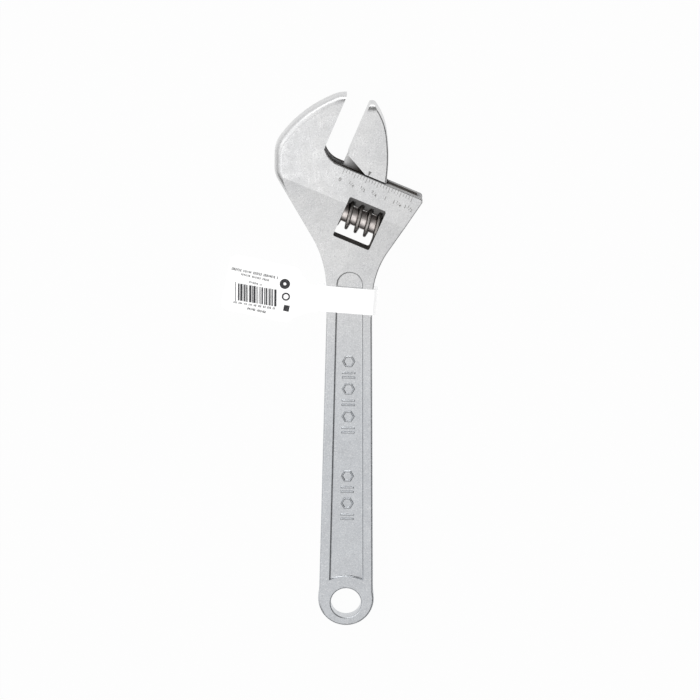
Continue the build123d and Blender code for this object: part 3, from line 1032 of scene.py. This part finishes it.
def soft_light(name, place, size, power, target):
    """Area light aimed at a point."""
    light = bpy.data.lights.new(name, "AREA")
    light.shape = "RECTANGLE"
    light.size, light.size_y = size
    light.energy = power
    lamp = bpy.data.objects.new(name, light)
    bpy.context.collection.objects.link(lamp)
    lamp.location = place
    lamp.rotation_euler = (Vector(target) - Vector(place)).to_track_quat("-Z", "Y").to_euler()


FLOOR_GLOW = 0.97
FLOOR_SIZE = 12.0
FLOOR_GAP = 0.05 * MM


def floor():
    """Plain white sweep, lit evenly like a light table."""
    fresh()
    bpy.ops.mesh.primitive_plane_add(size=FLOOR_SIZE, location=(0, 0.13, CAD_BOX[0][2] - FLOOR_GAP))
    ground = bpy.context.object
    ground.name = "floor"
    f = Finish("pale_floor")
    f.shader.inputs["Base Color"].default_value = (0.02, 0.02, 0.02, 1)
    f.shader.inputs["Roughness"].default_value = 0.9
    f.shader.inputs["Specular IOR Level"].default_value = 0.0
    f.shader.inputs["Emission Color"].default_value = (1, 1, 1, 1)
    f.shader.inputs["Emission Strength"].default_value = FLOOR_GLOW
    ground.data.materials.append(f.material)


# The studio's soft lights: where each lies, degrees from its middle to its core and to its edge, brightness.
ROOM_LIGHT = 0.16
OVERHEAD = ((-0.16, -0.22, 0.96), 20, 46, 0.82)
UPPER_LEFT = ((-0.60, 0.50, 0.62), 6, 38, 0.95)
LEFT = ((-0.90, 0.02, 0.42), 12, 44, 0.62)
LEFT_BACK_WALL = ((-0.55, 0.83, 0.05), 10, 32, 1.3)
BACK_STRIP = ((-0.12, 0.98, 0.10), 7, 24, 2.8)
STUDIO = (OVERHEAD, UPPER_LEFT, LEFT, LEFT_BACK_WALL, BACK_STRIP)


def surroundings():
    """Dim room with soft lights overhead, on the left and low at the back, and none on the right."""
    world = bpy.data.worlds.new("studio")
    bpy.context.scene.world = world
    world.use_nodes = True
    w = Network(world.node_tree, "Generated")
    light = ROOM_LIGHT
    for place, core, edge, strength in STUDIO:
        near = w.dot(w.place, Vector(place).normalized())
        glow = w.span(near, math.cos(math.radians(edge)), math.cos(math.radians(core)), smooth=True)
        light = w.sum("MULTIPLY_ADD", glow, strength, light)
    w.feed(w.nodes["Background"].inputs["Strength"], light)
    w.nodes["Background"].inputs["Color"].default_value = (1.0, 1.0, 1.0, 1)


# Small lamp low over the fixed jaw, which brightens the head's left side.
KEY_PLACE = (-0.11, 0.15, 0.42)
KEY_SIZE = (0.16, 0.16)
KEY_TARGET = (-0.04, 0.24, 0)
KEY_POWER = 0.068


class WRENCH_OT_stage(bpy.types.Operator):
    """Set the floor, the studio light and the camera"""

    bl_idname = "wrench.stage"
    bl_label = "Stage"

    def execute(self, context):
        floor()
        surroundings()
        soft_light("key", KEY_PLACE, KEY_SIZE, KEY_POWER, KEY_TARGET)
        studio_camera()
        bpy.context.scene.view_settings.view_transform = "Standard"
        return {"FINISHED"}


class WRENCH_PT_panel(bpy.types.Panel):
    """Lists the wrench's steps"""

    bl_label = "Wrench"
    bl_idname = "WRENCH_PT_panel"
    bl_space_type = "VIEW_3D"
    bl_region_type = "UI"
    bl_category = "Wrench"

    def draw(self, context):
        for step in STEPS:
            self.layout.operator(step.bl_idname)
        for group in (context.scene.wrench_sizes, context.scene.wrench_colours):
            for name in group.__annotations__:
                self.layout.prop(group, name)


STEPS = (WRENCH_OT_steel, WRENCH_OT_scale, WRENCH_OT_pointer, WRENCH_OT_label, WRENCH_OT_stage)
CLASSES = (WrenchSizes, WrenchColours) + STEPS + (WRENCH_PT_panel,)


def register():
    """Register the classes and their settings."""
    for item in CLASSES:
        bpy.utils.register_class(item)
    bpy.types.Scene.wrench_sizes = bpy.props.PointerProperty(type=WrenchSizes)
    bpy.types.Scene.wrench_colours = bpy.props.PointerProperty(type=WrenchColours)


def unregister():
    """Remove the settings and the classes."""
    del bpy.types.Scene.wrench_colours
    del bpy.types.Scene.wrench_sizes
    for item in reversed(CLASSES):
        bpy.utils.unregister_class(item)


def main():
    """Make every piece in order."""
    register()
    bpy.ops.wrench.steel()
    bpy.ops.wrench.scale()
    bpy.ops.wrench.pointer()
    bpy.ops.wrench.label()
    bpy.ops.wrench.stage()


if __name__ == "__main__":
    main()
